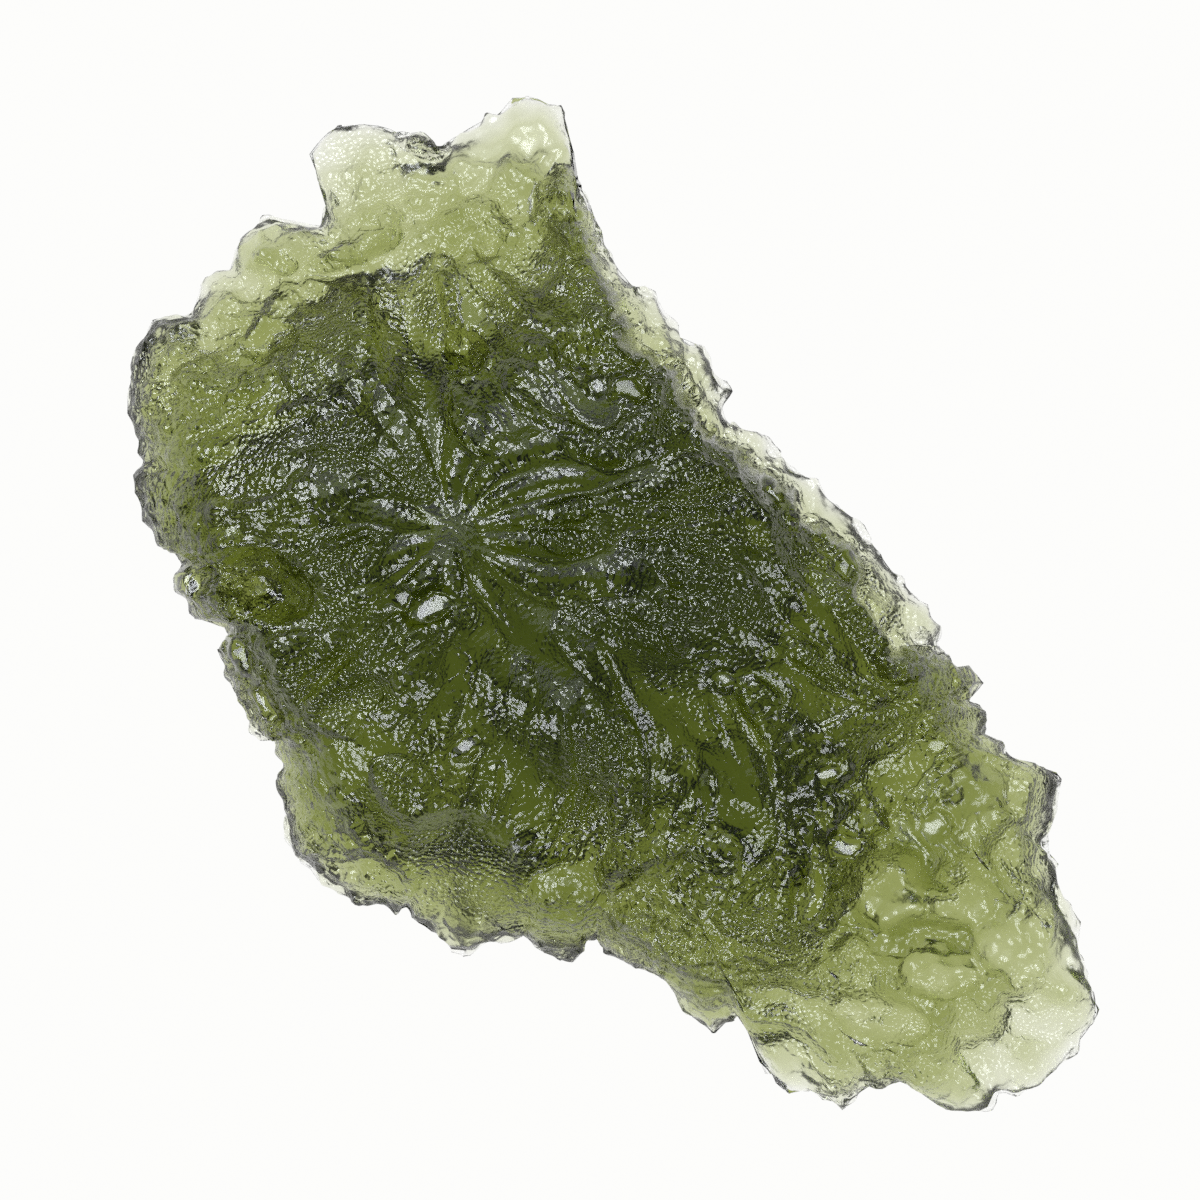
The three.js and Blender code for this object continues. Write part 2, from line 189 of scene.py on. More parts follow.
# The same columns, with a height in millimetres
TOP_LUMPS = [
    (564, 912, 46, 48, 0, 0.7), (268, 238, 48, 40, 0, 0.5), (160, 338, 40, 34, 0, 0.5),
    (146, 405, 44, 32, 80, 0.4), (192, 594, 38, 30, 0, 0.5), (1046, 792, 40, 38, 0, 0.6),
    (976, 686, 30, 28, 0, 0.5), (540, 112, 46, 30, 20, 0.2), (885, 1080, 30, 26, 0, 0.4),
    (838, 1095, 34, 28, 30, 0.3), (712, 362, 34, 26, 60, 0.4), (330, 880, 64, 26, 40, 0.25),
    (571, 212, 30, 46, -15, 1.3), (355, 247, 62, 18, -22, 0.5), (422, 140, 24, 14, 20, 0.8),
]
UNDER_LUMPS = [
    (415, 465, 90, 74, 20, 0.8), (705, 585, 90, 74, 50, 0.8), (530, 770, 90, 74, -20, 0.8),
    (750, 780, 80, 66, 60, 0.7),
]
# Heading in degrees, length in millimetres, start in radians, height in millimetres
TOP_WAVES = [(20, 5.2, 0.4, 0.1), (75, 4.1, 1.9, 0.08), (130, 3.3, 3.1, 0.06)]
UNDER_WAVES = [(40, 5.6, 2.2, 0.14), (95, 4.3, 0.7, 0.1), (150, 3.4, 4.4, 0.07)]
print("hollows", len(TOP_HOLLOWS) + len(UNDER_HOLLOWS), "lumps", len(TOP_LUMPS) + len(UNDER_LUMPS))

# %% [markdown]
# ## Noise
# Nothing on an etched stone is even, so the crest, the flutes and the pits all need noise. Blender has
# noise textures, but numpy cannot read them, and the mesh has to know its own shape. So this noise is
# made here: every corner of a lattice gets a random value, and the values are blended between corners.

# %% Smooth steps and noise
RANDOM_SEED = 7
RANDOM_COUNT = 8192
SEED_PRIME = 7919
PRIMES = (73856093, 19349663, 83492791)
HASH = np.random.default_rng(RANDOM_SEED).uniform(-1, 1, (len(PRIMES), RANDOM_COUNT))


def smoothstep(value, low, high):
    """0 below low, 1 above high, and 3t^2 - 2t^3 between."""
    t = np.clip((value - low) / (high - low), 0, 1)
    return t * t * (3 - 2 * t)


def lattice(seed, *coords):
    """Smooth noise from -1 to 1: a random value at each whole-number corner, blended by smoothsteps."""
    whole = [np.floor(c).astype(np.int64) for c in coords]
    eased = [smoothstep(c - w, 0, 1) for c, w in zip(coords, whole)]
    total = 0
    for corner in np.ndindex(*(2,) * len(coords)):
        mixed, weight = seed * SEED_PRIME, 1
        for w, e, step, prime in zip(whole, eased, corner, PRIMES):
            mixed = mixed ^ ((w + step) * prime)
            weight = weight * (e if step else 1 - e)
        total = total + weight * HASH[0, mixed % HASH.shape[1]]
    return total


def plan_noise(x, y, rows):
    """Sum of lattice noises in plan, each with its own seed, size in millimetres and height."""
    return sum(height * lattice(seed, x / size, y / size) for seed, size, height in rows)


across = np.linspace(0, 9, 400)
sample = lattice(1, across, across)
print("noise from", sample.min().round(2), "to", sample.max().round(2))


# %% Functions of the broad shape
def knot_height(x, y, column):
    """Mean of the knots' heights, each weighted by a bell curve of its distance."""
    total, weights = 0, 0
    for place, height in zip(from_photo(KNOTS[:, :2]), KNOTS[:, column]):
        weight = np.exp(-((x - place[0]) ** 2 + (y - place[1]) ** 2) / (2 * KNOT_REACH ** 2))
        total, weights = total + weight * height, weights + weight
    return total / weights


def beside_line(x, y, line):
    """Distance to a line of points, above zero on its left: the nearest of its straight runs counts."""
    nearest, side = np.full_like(x, np.inf), np.ones_like(x)
    for start, end in zip(line[:-1], line[1:]):
        run = end - start
        dx, dy = x - start[0], y - start[1]
        along = np.clip((dx * run[0] + dy * run[1]) / (run @ run), 0, 1)
        gap = np.hypot(dx - along * run[0], dy - along * run[1])
        closer = gap < nearest
        side = np.where(closer, np.sign(run[0] * dy - run[1] * dx), side)
        nearest = np.where(closer, gap, nearest)
    return side * nearest


def in_ellipse(x, y, column, row, long_px, short_px, turn):
    """1 in the middle of a turned ellipse, falling as 1 - d^2 to 0 at its edge and outside."""
    at = from_photo((column, row))
    heading = LONG_AXIS_TURN - math.radians(turn)
    dx, dy = x - at[0], y - at[1]
    u = (dx * math.cos(heading) + dy * math.sin(heading)) / (long_px * MM_PER_PX)
    v = (dy * math.cos(heading) - dx * math.sin(heading)) / (short_px * MM_PER_PX)
    return np.maximum(0, 1 - u * u - v * v)


def hollow_depth(x, y, rows):
    """Deepest of the hollows, each its depth times the ellipse's 1 - d^2, so that bowls meet in cusps."""
    return np.max([depth * in_ellipse(x, y, *ellipse) for *ellipse, depth in rows], axis=0)


def lump_height(x, y, rows):
    """Sum of the lumps: each is a dome, its height times the ellipse's 1 - d^2 with a rounded foot."""
    return sum(height * smoothstep(in_ellipse(x, y, *ellipse), 0, 1) for *ellipse, height in rows)


def wave_height(x, y, waves):
    """Sum of sine waves, each with its own heading, length, start and height."""
    total = 0
    for turn, length, start, height in waves:
        along = x * math.cos(math.radians(turn)) + y * math.sin(math.radians(turn))
        total = total + height * np.sin(2 * math.pi * along / length + start)
    return total


def star_angle(x, y, stars):
    """Weighted sum of the angles at which the stars are seen, and the distance to the nearest star."""
    angle, nearest = np.zeros_like(x), np.full_like(x, np.inf)
    for column, row, weight in stars:
        star = from_photo((column, row))
        angle += weight * np.arctan2(y - star[1], x - star[0])
        nearest = np.minimum(nearest, np.hypot(x - star[0], y - star[1]))
    return angle, nearest


print("blended height of the knots at the hub, mm:", knot_height(HUB[:1], HUB[1:], 2).round(2))

# %% Heights of the two faces
MIN_THICKNESS = 0.5
LEDGE_HEIGHT = 2.2
LEDGE_WALL = 0.25
# Seed, size and height of the noise that makes the crest jagged
CREST_JAGS = [(41, 0.8, 0.3), (43, 0.35, 0.15)]
VALLEY_DEPTH = 0.5
VALLEY_WIDTH = 1.3
FLUTE_COUNT = 6
TOP_FLUTE_DEPTH = 0.16
UNDER_FLUTE_DEPTH = 0.2
FLUTE_START = 0.3
FLUTE_FULL = 1.5


def broad_flutes(x, y, stars):
    """Half a cosine wave of the stars' angle, grown in with distance from the nearest star."""
    angle, nearest = star_angle(x, y, stars)
    return smoothstep(nearest, FLUTE_START, FLUTE_FULL) * np.cos(angle * FLUTE_COUNT) / 2


def under_height(x, y):
    """Height of the underside: knots less flutes, waves and lumps, plus hollows, never below the table."""
    carved = UNDER_FLUTE_DEPTH * broad_flutes(x, y, UNDER_STARS) + wave_height(x, y, UNDER_WAVES)
    bulged = lump_height(x, y, UNDER_LUMPS) - hollow_depth(x, y, UNDER_HOLLOWS)
    return np.maximum(0, knot_height(x, y, 3) - carved - bulged)


def crest_side(x, y):
    """Distance to the crest, above zero outside it, with noise added so that the crest is jagged."""
    return beside_line(x, y, CREST) + plan_noise(x, y, CREST_JAGS)


def top_height(x, y):
    """Height of the upper face: knots, flutes, waves, valley and hollows, cut by the ledge, plus lumps."""
    valley = VALLEY_DEPTH * np.exp(-((beside_line(x, y, VALLEY) / VALLEY_WIDTH) ** 2))
    carved = TOP_FLUTE_DEPTH * broad_flutes(x, y, TOP_STARS) + wave_height(x, y, TOP_WAVES)
    face = knot_height(x, y, 2) + carved - valley - hollow_depth(x, y, TOP_HOLLOWS)
    outside = smoothstep(crest_side(x, y), -LEDGE_WALL, 0)
    stepped = face + outside * (np.minimum(face, LEDGE_HEIGHT) - face)
    return np.maximum(stepped + lump_height(x, y, TOP_LUMPS), under_height(x, y) + MIN_THICKNESS)


hub_top, hub_under = top_height(HUB[:1], HUB[1:]), under_height(HUB[:1], HUB[1:])
print("thickness at the hub, mm:", (hub_top - hub_under).round(2))

# %% [markdown]
# ## The grid
# Each face is one sheet of a grid, and both sheets meet at the rim, which makes a closed body. Glass
# needs that, because light has to go in and come out again. Two sheets could be cut off at the rim, but
# the real edge is rounded. So the last part of each spoke is bent over the rim as a quarter circle. Its
# rows are spaced evenly along that bend and not in plan, because a steep wall would otherwise have only
# a few long faces.

# %% Two sheets that share a rim
COLUMNS = 300
ROWS = 160
RIM_WIDTH = 2.1
RIM_SHARE = 0.2
RIM_SHARPNESS = 1.5
# Waves in one turn, start in radians, size
RIM_WAVES = [(5, 0.6, 0.06), (9, 2.0, 0.04), (16, 4.1, 0.03)]
TEETH_POWER = 7
BEND_LENGTH = 3.6
ROUNDING = 1e-9


def square_to_disc(a, b):
    """A square's rings become circles: the larger coordinate is the radius, their ratio the angle."""
    flat = np.abs(a) > np.abs(b)
    signed = np.where(flat, a, b)
    ratio = np.divide(np.where(flat, b, a), signed, out=np.zeros_like(a), where=signed != 0)
    turned = np.where(flat, math.pi / 4 * ratio, math.pi / 2 - math.pi / 4 * ratio)
    x, y = signed * np.cos(turned), signed * np.sin(turned)
    return np.abs(signed), np.arctan2(y, x)


def plan_and_bend(a, b):
    """Plan place of a grid point, its angle, and how far it is bent: 0 on a face to 1 at the rim."""
    radius, angle = square_to_disc(a, b)
    arm = np.hypot(HALF_SIZE[0] * np.cos(angle), HALF_SIZE[1] * np.sin(angle))
    reach, broad = outline_radius(angle), broad_radius(angle)
    inner = 1 - RIM_WIDTH / (arm * broad)
    start = inner * arm / (inner * arm + BEND_LENGTH)
    bend = np.clip((radius - start) / (1 - start), 0, 1)
    spaced = np.where(radius < start, radius / start * inner,
                      inner + (1 - inner) * np.sin(bend * math.pi / 2))
    spread = spaced * broad + (reach - broad) * spaced ** TEETH_POWER
    x = HUB[0] + spread * HALF_SIZE[0] * np.cos(angle)
    y = HUB[1] + spread * HALF_SIZE[1] * np.sin(angle)
    return x, y, angle, bend


a, b = np.meshgrid(np.linspace(-1, 1, COLUMNS + 1), np.linspace(-1, 1, ROWS + 1))
plan_x, plan_y, spoke, bend = (part.ravel() for part in plan_and_bend(a, b))
on_rim = np.maximum(np.abs(a), np.abs(b)).ravel() > 1 - ROUNDING
top, under = top_height(plan_x, plan_y), under_height(plan_x, plan_y)
share = RIM_SHARE + sum(size * np.sin(count * spoke + start) for count, start, size in RIM_WAVES)
rim_height = under + share * (top - under)
level = np.cos(bend * math.pi / 2) ** RIM_SHARPNESS
upper_sheet = np.stack([plan_x, plan_y, rim_height + (top - rim_height) * level], axis=1)
lower_sheet = np.stack([plan_x, plan_y, rim_height + (under - rim_height) * level], axis=1)

upper_ids = np.arange(len(plan_x))
lower_ids = np.where(on_rim, upper_ids, len(plan_x) + np.cumsum(~on_rim) - 1)
points = np.concatenate([upper_sheet, lower_sheet[~on_rim]])
thickness = np.concatenate([(top - under) * level, ((top - under) * level)[~on_rim]])
side = np.concatenate([np.where(on_rim, 0, 1), -np.ones((~on_rim).sum())])
print("points", len(points), "of which on the rim", on_rim.sum())


# %% Triangles of the closed body
CELL_CORNERS = ((0, 0), (0, 1), (1, 1), (1, 0))


def plan_gap(first, second):
    """Distances in plan between two lists of points."""
    return np.hypot(*(points[first, :2] - points[second, :2]).T)


def sheet_triangles(ids):
    """Each cell is cut along its shorter diagonal in plan; triangles with all corners on the rim go."""
    grid = ids.reshape(ROWS + 1, COLUMNS + 1)
    p, q, r, s = (grid[i:ROWS + i, j:COLUMNS + j].ravel() for i, j in CELL_CORNERS)
    cut_pr = (plan_gap(p, r) < plan_gap(q, s))[:, None]
    first = np.where(cut_pr, np.stack([p, q, r], 1), np.stack([p, q, s], 1))
    second = np.where(cut_pr, np.stack([p, r, s], 1), np.stack([q, r, s], 1))
    both = np.concatenate([first, second])
    within_rim = (side[both] == 0).all(axis=1)
    return both[~within_rim]


# The lower sheet is wound the other way, so that its faces point down
triangles = np.concatenate([sheet_triangles(upper_ids), sheet_triangles(lower_ids)[:, ::-1]])
print("triangles", len(triangles))


# %% Normals of the points
def point_normals(places):
    """Each point's normal: the sum of its triangles' normals, which are as long as their areas."""
    one, two, three = (places[triangles[:, k]] for k in range(3))
    facing = np.cross(two - one, three - one)
    summed = np.zeros_like(places)
    for corner in triangles.T:
        for axis in range(3):
            summed[:, axis] += np.bincount(corner, facing[:, axis], len(places))
    return summed / np.linalg.norm(summed, axis=1, keepdims=True)


normals = point_normals(points)
print("mean normal height, upper sheet:", normals[side > 0, 2].mean().round(2))
print("mean normal height, lower sheet:", normals[side < 0, 2].mean().round(2))

# %% [markdown]
# ## Flutes along the flow
# The etched surface looks like braided rivers: smooth green flutes flow along the stone and fan out at
# its stars. Grooves could be drawn one by one, but there are hundreds. So the direction of the flutes
# was read at some places, and is blended between them. Smearing noise along that direction makes the
# flutes: it joins random dots into streaks, as a comb does in wet paint. An angle is doubled before it
# is blended, because a groove that runs left also runs right.

# %% Direction of the flutes
# Picture place and direction in degrees, clockwise from the picture's right
COMBS = [
    (350, 145, 15), (430, 145, 0), (520, 160, 0), (400, 210, 20), (500, 212, 0), (350, 240, 0),
    (540, 275, 5), (560, 330, 30), (450, 280, 60), (260, 235, -30), (215, 275, -40), (270, 300, 5),
    (330, 325, 15), (180, 320, 0), (140, 400, 90), (145, 490, 75), (200, 400, 95), (280, 380, 80),
    (230, 450, -8), (285, 437, -25), (250, 478, -2), (320, 480, 0), (370, 515, 0), (200, 525, 0),
    (330, 590, -15), (390, 565, -30), (300, 640, -42), (265, 655, -50), (385, 345, 65), (402, 400, 62),
    (425, 455, 63), (448, 510, 52), (455, 345, 76), (445, 575, -55), (420, 600, -48), (466, 600, 92),
    (500, 600, 66), (530, 600, 52), (520, 562, 34), (500, 505, 4), (550, 495, 0), (590, 470, 22),
    (530, 430, 48), (500, 390, 45), (570, 400, 22), (620, 440, -62), (655, 440, -50), (690, 420, -44),
    (700, 470, -20), (745, 488, -12), (640, 515, 8), (690, 545, 18), (690, 588, 26), (740, 570, 16),
    (800, 620, 32), (850, 645, 42), (875, 690, 40), (895, 620, 58), (830, 560, 60), (600, 640, 54),
    (650, 695, 52), (560, 625, 46), (620, 715, 58), (700, 700, 60), (735, 740, 64), (640, 770, 86),
    (690, 790, -84), (620, 810, -68), (580, 840, -50), (530, 790, -48), (560, 735, 88), (500, 730, 86),
    (440, 715, -44), (390, 670, -30), (590, 890, -50), (660, 930, -48), (722, 890, -66), (830, 775, -18),
    (885, 770, -26), (840, 845, 28), (855, 880, 48), (805, 860, 62), (778, 885, 90), (750, 870, -62),
    (800, 735, -50), (850, 735, -32), (920, 730, -60), (970, 760, -70), (1040, 790, 80), (900, 900, 70),
    (960, 900, 80), (870, 1000, 30), (930, 1030, 38), (850, 1055, 45), (950, 1085, 32), (1000, 1000, 58),
    (1045, 910, 72), (960, 955, 50), (770, 965, 0), (700, 975, 10), (330, 865, 35), (390, 890, 22),
    (300, 800, 85), (250, 700, 66), (350, 760, 50), (410, 800, 45), (460, 850, -40), (540, 910, 50),
]
COMB_REACH = 1.1
FIELD_STEP = 0.1
FIELD_LOW = np.array([-16.0, -9.5])
FIELD_SHAPE = (321, 191)

field_x, field_y = np.meshgrid(
    *(low + FIELD_STEP * np.arange(count) for low, count in zip(FIELD_LOW, FIELD_SHAPE)), indexing="ij")
# A hair above zero, so that far from every comb there is still a direction
double_cos, double_sin = np.full(FIELD_SHAPE, ROUNDING), np.zeros(FIELD_SHAPE)
for column, row, turn in COMBS:
    at = from_photo((column, row))
    heading = LONG_AXIS_TURN - math.radians(turn)
    weight = np.exp(-((field_x - at[0]) ** 2 + (field_y - at[1]) ** 2) / (2 * COMB_REACH ** 2))
    double_cos += weight * math.cos(2 * heading)
    double_sin += weight * math.sin(2 * heading)
flow_angle = np.arctan2(double_sin, double_cos) / 2
flow = np.stack([np.cos(flow_angle), np.sin(flow_angle)], axis=-1)
print("directions read at", len(COMBS), "places")


# %% Paths along the flutes
PATH_STEP = 0.1
PATH_STEPS = 26


def flow_paths(x, y):
    """Places on the way through each point along the flow: half the steps forward, half backward."""
    middle = np.stack([x, y], axis=1)
    paths = [middle]
    for way in (1, -1):
        place, heading = middle, None
        for _ in range(PATH_STEPS):
            cell = np.rint((place - FIELD_LOW) / FIELD_STEP).astype(int)
            cell = np.clip(cell, 0, np.array(FIELD_SHAPE) - 1)
            ahead = flow[cell[:, 0], cell[:, 1]]
            if heading is None:
                heading = ahead * way
            else:
                heading = ahead * np.where((ahead * heading).sum(axis=1) < 0, -1, 1)[:, None]
            place = place + heading * PATH_STEP
            paths.insert(len(paths) if way > 0 else 0, place)
    return paths


def streaks(seed, size, reach):
    """Noise smeared along the paths: a weighted mean over the reach, scaled to an even spread."""
    total, weights = 0, 0
    for k, place in enumerate(paths):
        gap = abs(k - PATH_STEPS) * PATH_STEP
        if gap < reach:
            weight = math.cos(math.pi / 2 * gap / reach) ** 2
            total = total + weight * lattice(seed, place[:, 0] / size, place[:, 1] / size)
            weights += weight
    mean = total / weights
    return (mean - mean.mean()) / mean.std()


paths = flow_paths(points[:, 0], points[:, 1])
print("path of", len(paths), "steps through each point")

# %% [markdown]
# ## Rivers and islands
# Between the smooth flutes lie islands with thousands of tiny pits that glint. Painting them by hand
# would take long, and they follow the flow anyway. So the islands are broad streaks of the same smeared
# noise, and they stay clear of the large rivers, which were read from the picture.

# %% Rivers and islands
RIVERS_PX = [
    [(400, 260), (410, 330), (425, 430), (455, 525), (520, 580), (600, 645), (690, 710), (750, 775),
     (780, 830)],
    [(455, 525), (520, 520), (590, 490), (660, 510), (740, 545), (810, 610), (880, 690)],
    [(455, 535), (390, 560), (310, 600), (260, 640)],
    [(190, 480), (260, 475), (340, 490), (430, 520)],
    [(470, 560), (480, 640), (440, 720), (350, 770)],
    [(780, 830), (740, 880), (690, 930)],
    [(780, 830), (850, 860), (900, 900)],
    [(690, 710), (650, 770), (620, 850)],
]
RIVER_WIDTH = 0.4
RIVER_CUT = 0.9
# Seed, size and reach in millimetres
DRIFT = (31, 0.85, 2.0)
ISLAND_BANK = (-1.0, -0.3)


def river_share(x, y):
    """1 in the middle of the nearest river, falling as a bell curve to its banks."""
    nearest = np.min([np.abs(beside_line(x, y, from_photo(line))) for line in RIVERS_PX], axis=0)
    return np.exp(-((nearest / RIVER_WIDTH) ** 2))


river = river_share(points[:, 0], points[:, 1])
island = smoothstep(streaks(*DRIFT) - RIVER_CUT * river, *ISLAND_BANK)
print("share of islands:", island[side > 0].mean().round(2))

# %% [markdown]
# ## Patches of the surface
# The stone is not etched alike everywhere. Its thin ends and walls are covered with pits, some hollows
# are smooth windows into the glass, and the pale ends and the ledge look frosted. A few small places
# glint strongly or are dark. All these are turned ellipses again, with a strength for each. Livelier and
# calmer parts of the surface come from broad noise.

# %% Pitted, smooth and frosted patches
# Picture column and row, long and short half axis in pixels, turn in degrees, strength
PIT_PATCHES = [
    (960, 960, 210, 160, 50, 1), (440, 170, 190, 110, 0, 1), (200, 330, 130, 90, -30, 1),
    (330, 870, 140, 60, 35, 1), (760, 430, 260, 60, 45, 1),
]
SMOOTH_PATCHES = [
    (412, 330, 120, 44, 80, 0.8), (255, 475, 66, 28, -10, 0.8), (290, 600, 54, 32, 20, 0.8),
    (738, 728, 66, 22, 62, 0.8), (465, 870, 76, 58, 60, 0.7), (564, 912, 48, 48, 0, 0.6),
    (882, 1016, 62, 28, 20, 0.6), (885, 892, 48, 42, 0, 0.5), (962, 898, 42, 38, 0, 0.5),
    (1006, 944, 50, 38, 40, 0.5), (463, 352, 30, 28, 0, 0.9), (590, 362, 42, 28, 20, 0.9),
]
FROST_PATCHES = [
    (430, 150, 240, 150, 5, 1.0), (265, 260, 160, 90, -25, 0.9), (490, 240, 90, 66, 10, 0.8),
    (470, 890, 90, 80, 60, 0.8), (564, 920, 60, 64, 0, 0.8), (1000, 980, 200, 190, 50, 0.9),
    (1020, 830, 90, 150, 0, 0.9), (715, 1012, 70, 50, 20, 0.9), (850, 1060, 150, 80, 25, 0.9),
]
PATCH_EDGE = 0.35
FROST_EDGE = 0.3
LIVELY_NOISE = [(37, 1.6, 1.0)]
LIVELY_BANK = (-0.5, 0.4)


def patch(rows):
    """Largest value of a list of ellipses, each at full strength inside and fading out at its edge."""
    x, y = points[:, 0], points[:, 1]
    return np.max([full * smoothstep(in_ellipse(x, y, *row), 0, PATCH_EDGE) for *row, full in rows], axis=0)


outside = smoothstep(crest_side(points[:, 0], points[:, 1]), 0, FROST_EDGE)
frost = np.maximum(patch(FROST_PATCHES), outside)
lively = smoothstep(plan_noise(points[:, 0], points[:, 1], LIVELY_NOISE), *LIVELY_BANK)
print("share of frosted glass:", frost[side > 0].mean().round(2))

# %% [markdown]
# ## Facets
# A few larger glints on the stone are small flat breaks that mirror a lamp. A bump could not give them,
# because they are as wide as many dots. So each is a real plane in the mesh. To send the light of a lamp
# that leans some 50 degrees straight up, a plane has to lean half as much towards it. Noise eats into the
# edge of each facet, so that it is not a neat ellipse.

# %% Facets that lean towards a light
# Picture column and row, long and short half axis in pixels, turn in degrees, turn of the light
FACETS = [
    (430, 606, 32, 20, -25, 150), (404, 600, 16, 15, 0, 222), (830, 772, 30, 15, -15, 78),
    (845, 846, 32, 17, 25, 78), (935, 826, 23, 18, -10, 150), (467, 744, 20, 17, -35, 78),
    (628, 388, 26, 13, 35, 6), (722, 678, 17, 13, 20, 78), (845, 565, 22, 13, 70, 6),
    (566, 210, 24, 14, 20, 78), (240, 656, 32, 13, 65, 222), (262, 702, 30, 13, 60, 150),
    (193, 582, 26, 20, 10, 150), (940, 742, 20, 13, -60, 6), (772, 490, 26, 12, 60, 78),
    (598, 387, 17, 14, 80, 150),
]
FACET_SLOPE = 0.47
FACET_RAGS = 0.5
FACET_NOISE = [(59, 0.25, 0.5)]
FACET_EDGE = 0.45


def cut_facets(places):
    """Heights with the facets cut in: each ellipse holds a plane that leans to its light and fades out."""
    x, y, z = places.T
    ragged = 0.5 + plan_noise(x, y, FACET_NOISE)
    for *ellipse, turn in FACETS:
        at, heading = from_photo(ellipse[:2]), LONG_AXIS_TURN + math.radians(turn)
        along = (x - at[0]) * math.cos(heading) + (y - at[1]) * math.sin(heading)
        inside = smoothstep(in_ellipse(x, y, *ellipse) - FACET_RAGS * ragged, 0, FACET_EDGE) * (side > 0)
        middle = np.average(z, weights=inside)
        z = z + inside * (middle - FACET_SLOPE * along - z)
    return z


faceted = patch([(*row[:5], 1) for row in FACETS])
print("facets", len(FACETS))

# %% [markdown]
# ## Pits
# Acid eats round bowls that grow until they touch, so pits lie side by side like the cells of a
# honeycomb, with sharp edges between them. Cutting thousands of spheres out of the body would be slow.
# The squared distance to the nearest of many scattered points has the same shape: a bowl about each
# point, and a cusp where two bowls meet.

# %% Pits side by side
PIT_SCATTER = 0.45


def pits(seed, *coords):
    """Bowls side by side: the squared distance to the nearest of one shifted point per unit cell."""
    whole = [np.floor(c).astype(np.int64) for c in coords]
    nearest = np.full(coords[0].shape, np.inf)
    for step in np.ndindex(*(3,) * len(coords)):
        mixed = seed * SEED_PRIME
        for w, k, prime in zip(whole, step, PRIMES):
            mixed = mixed ^ ((w + k - 1) * prime)
        gap = 0
        for axis, (c, w) in enumerate(zip(coords, whole)):
            shift = 0.5 + PIT_SCATTER * HASH[axis, mixed % HASH.shape[1]]
            gap = gap + (w + step[axis] - 1 + shift - c) ** 2
        nearest = np.minimum(nearest, gap)
    return nearest


print("pits up to", pits(1, across, across, across).max().round(2))

# %% Parts of the relief
# Seed, size and reach in millimetres, height in millimetres
RIDGES = (2, 1.0, 2.4, 0.2)
FLUTES = (3, 0.5, 1.8, 0.11)
FINE_FLUTES = (5, 0.26, 0.8, 0.06)
RIDGE_LEVEL = 0.8
# Seed, size and height in millimetres
BOWLS = (11, 1.1, 1.0)
SMALL_BOWLS = (13, 0.45, 0.3)
WALL_BOWLS = (17, 0.6, 0.25)
WALL_NOISE = (19, 0.3, 0.08)
BUMPS = (23, 0.24, 0.05)
BOWL_LEVEL = 0.3


def combed(seed, size, reach, height):
    """Ridges with sharp tops: the height times a level less the absolute value of the smeared noise."""
    return height * (RIDGE_LEVEL - np.abs(streaks(seed, size, reach)))


def bowls_of(seed, size, height):
    """Bowls about the surface: the height times the pits' squared distance less a level."""
    x, y, z = points.T
    return height * (pits(seed, x / size, y / size, z / size) - BOWL_LEVEL)


def lumpy(seed, size, height):
    """Noise in space: the height times the lattice noise of the places over the size."""
    x, y, z = points.T
    return height * lattice(seed, x / size, y / size, z / size)


flutes = combed(*RIDGES) + combed(*FLUTES)
fine_flutes = combed(*FINE_FLUTES)
print("flutes up to", flutes.max().round(2), "mm, fine flutes up to", fine_flutes.max().round(2), "mm")

# %% [markdown]
# ## The carved surface
# Now the parts are put together as one height along the normal of each point. The faces get flutes and
# islands, the ends pits, the windows stay smooth, and steep walls get small bowls. On the underside,
# which lay hidden, the same relief is weaker and worn. Displacing the mesh and not only the shading makes
# the outline and the way of the light right too.

# %% Moving the points along their normals
ISLAND_RELIEF = 0.12
FLAT_FACING = (0.4, 0.85)
BOWL_THICKNESS = 2.2
UNDER_BOWLS = 0.3
UNDER_RELIEF = 0.6
RIVER_FLUTES = 0.2
CALM_FLUTES = 0.5
RIVER_BUMPS = 0.25
FROST_FADE = 0.8
PIT_FADE = 0.8
WEAR = [(47, 1.3, 1.0), (53, 0.6, 0.5)]
WEAR_BANK = (-0.3, 0.7)
WEAR_DEPTH = 0.22


def at_least(low, share):
    """A share that starts at a lowest level: low + (1 - low) times the share."""
    return low + (1 - low) * share


def face_relief():
    """Flutes and islands, faded by frost and pits; bowls in the pitted patches; nothing in the windows."""
    pitted, keep = patch(PIT_PATCHES), 1 - FROST_FADE * frost
    smooth = np.maximum(patch(SMOOTH_PATCHES), faceted) * (side > 0)
    calm = at_least(RIVER_FLUTES, island) * at_least(CALM_FLUTES, lively)
    fluted = flutes * calm + fine_flutes * calm * keep + ISLAND_RELIEF * island * (1 - frost)
    bowls = bowls_of(*BOWLS) + bowls_of(*SMALL_BOWLS)
    bowls = bowls * smoothstep(thickness, 0, BOWL_THICKNESS) * np.where(side < 0, UNDER_BOWLS, 1)
    face = fluted * (1 - PIT_FADE * pitted) + bowls * pitted
    return face * (1 - smooth) + lumpy(*BUMPS) * keep * at_least(RIVER_BUMPS, island) * (1 - faceted)


def relief():
    """Height along the normal in millimetres: the face where the normal is upright, bowls on the walls."""
    flatness = smoothstep(np.abs(normals[:, 2]), *FLAT_FACING)
    worn = smoothstep(plan_noise(points[:, 0], points[:, 1], WEAR), *WEAR_BANK)
    face = face_relief() * np.where(normals[:, 2] > 0, 1, UNDER_RELIEF) - WEAR_DEPTH * worn * (side < 0)
    return face * flatness + (bowls_of(*WALL_BOWLS) + lumpy(*WALL_NOISE)) * (1 - flatness)


height = relief()
carved = points + normals * height[:, None]
carved[:, 2] = np.maximum(cut_facets(carved), 0)
print("relief from", height.min().round(3), "to", height.max().round(3), "mm")

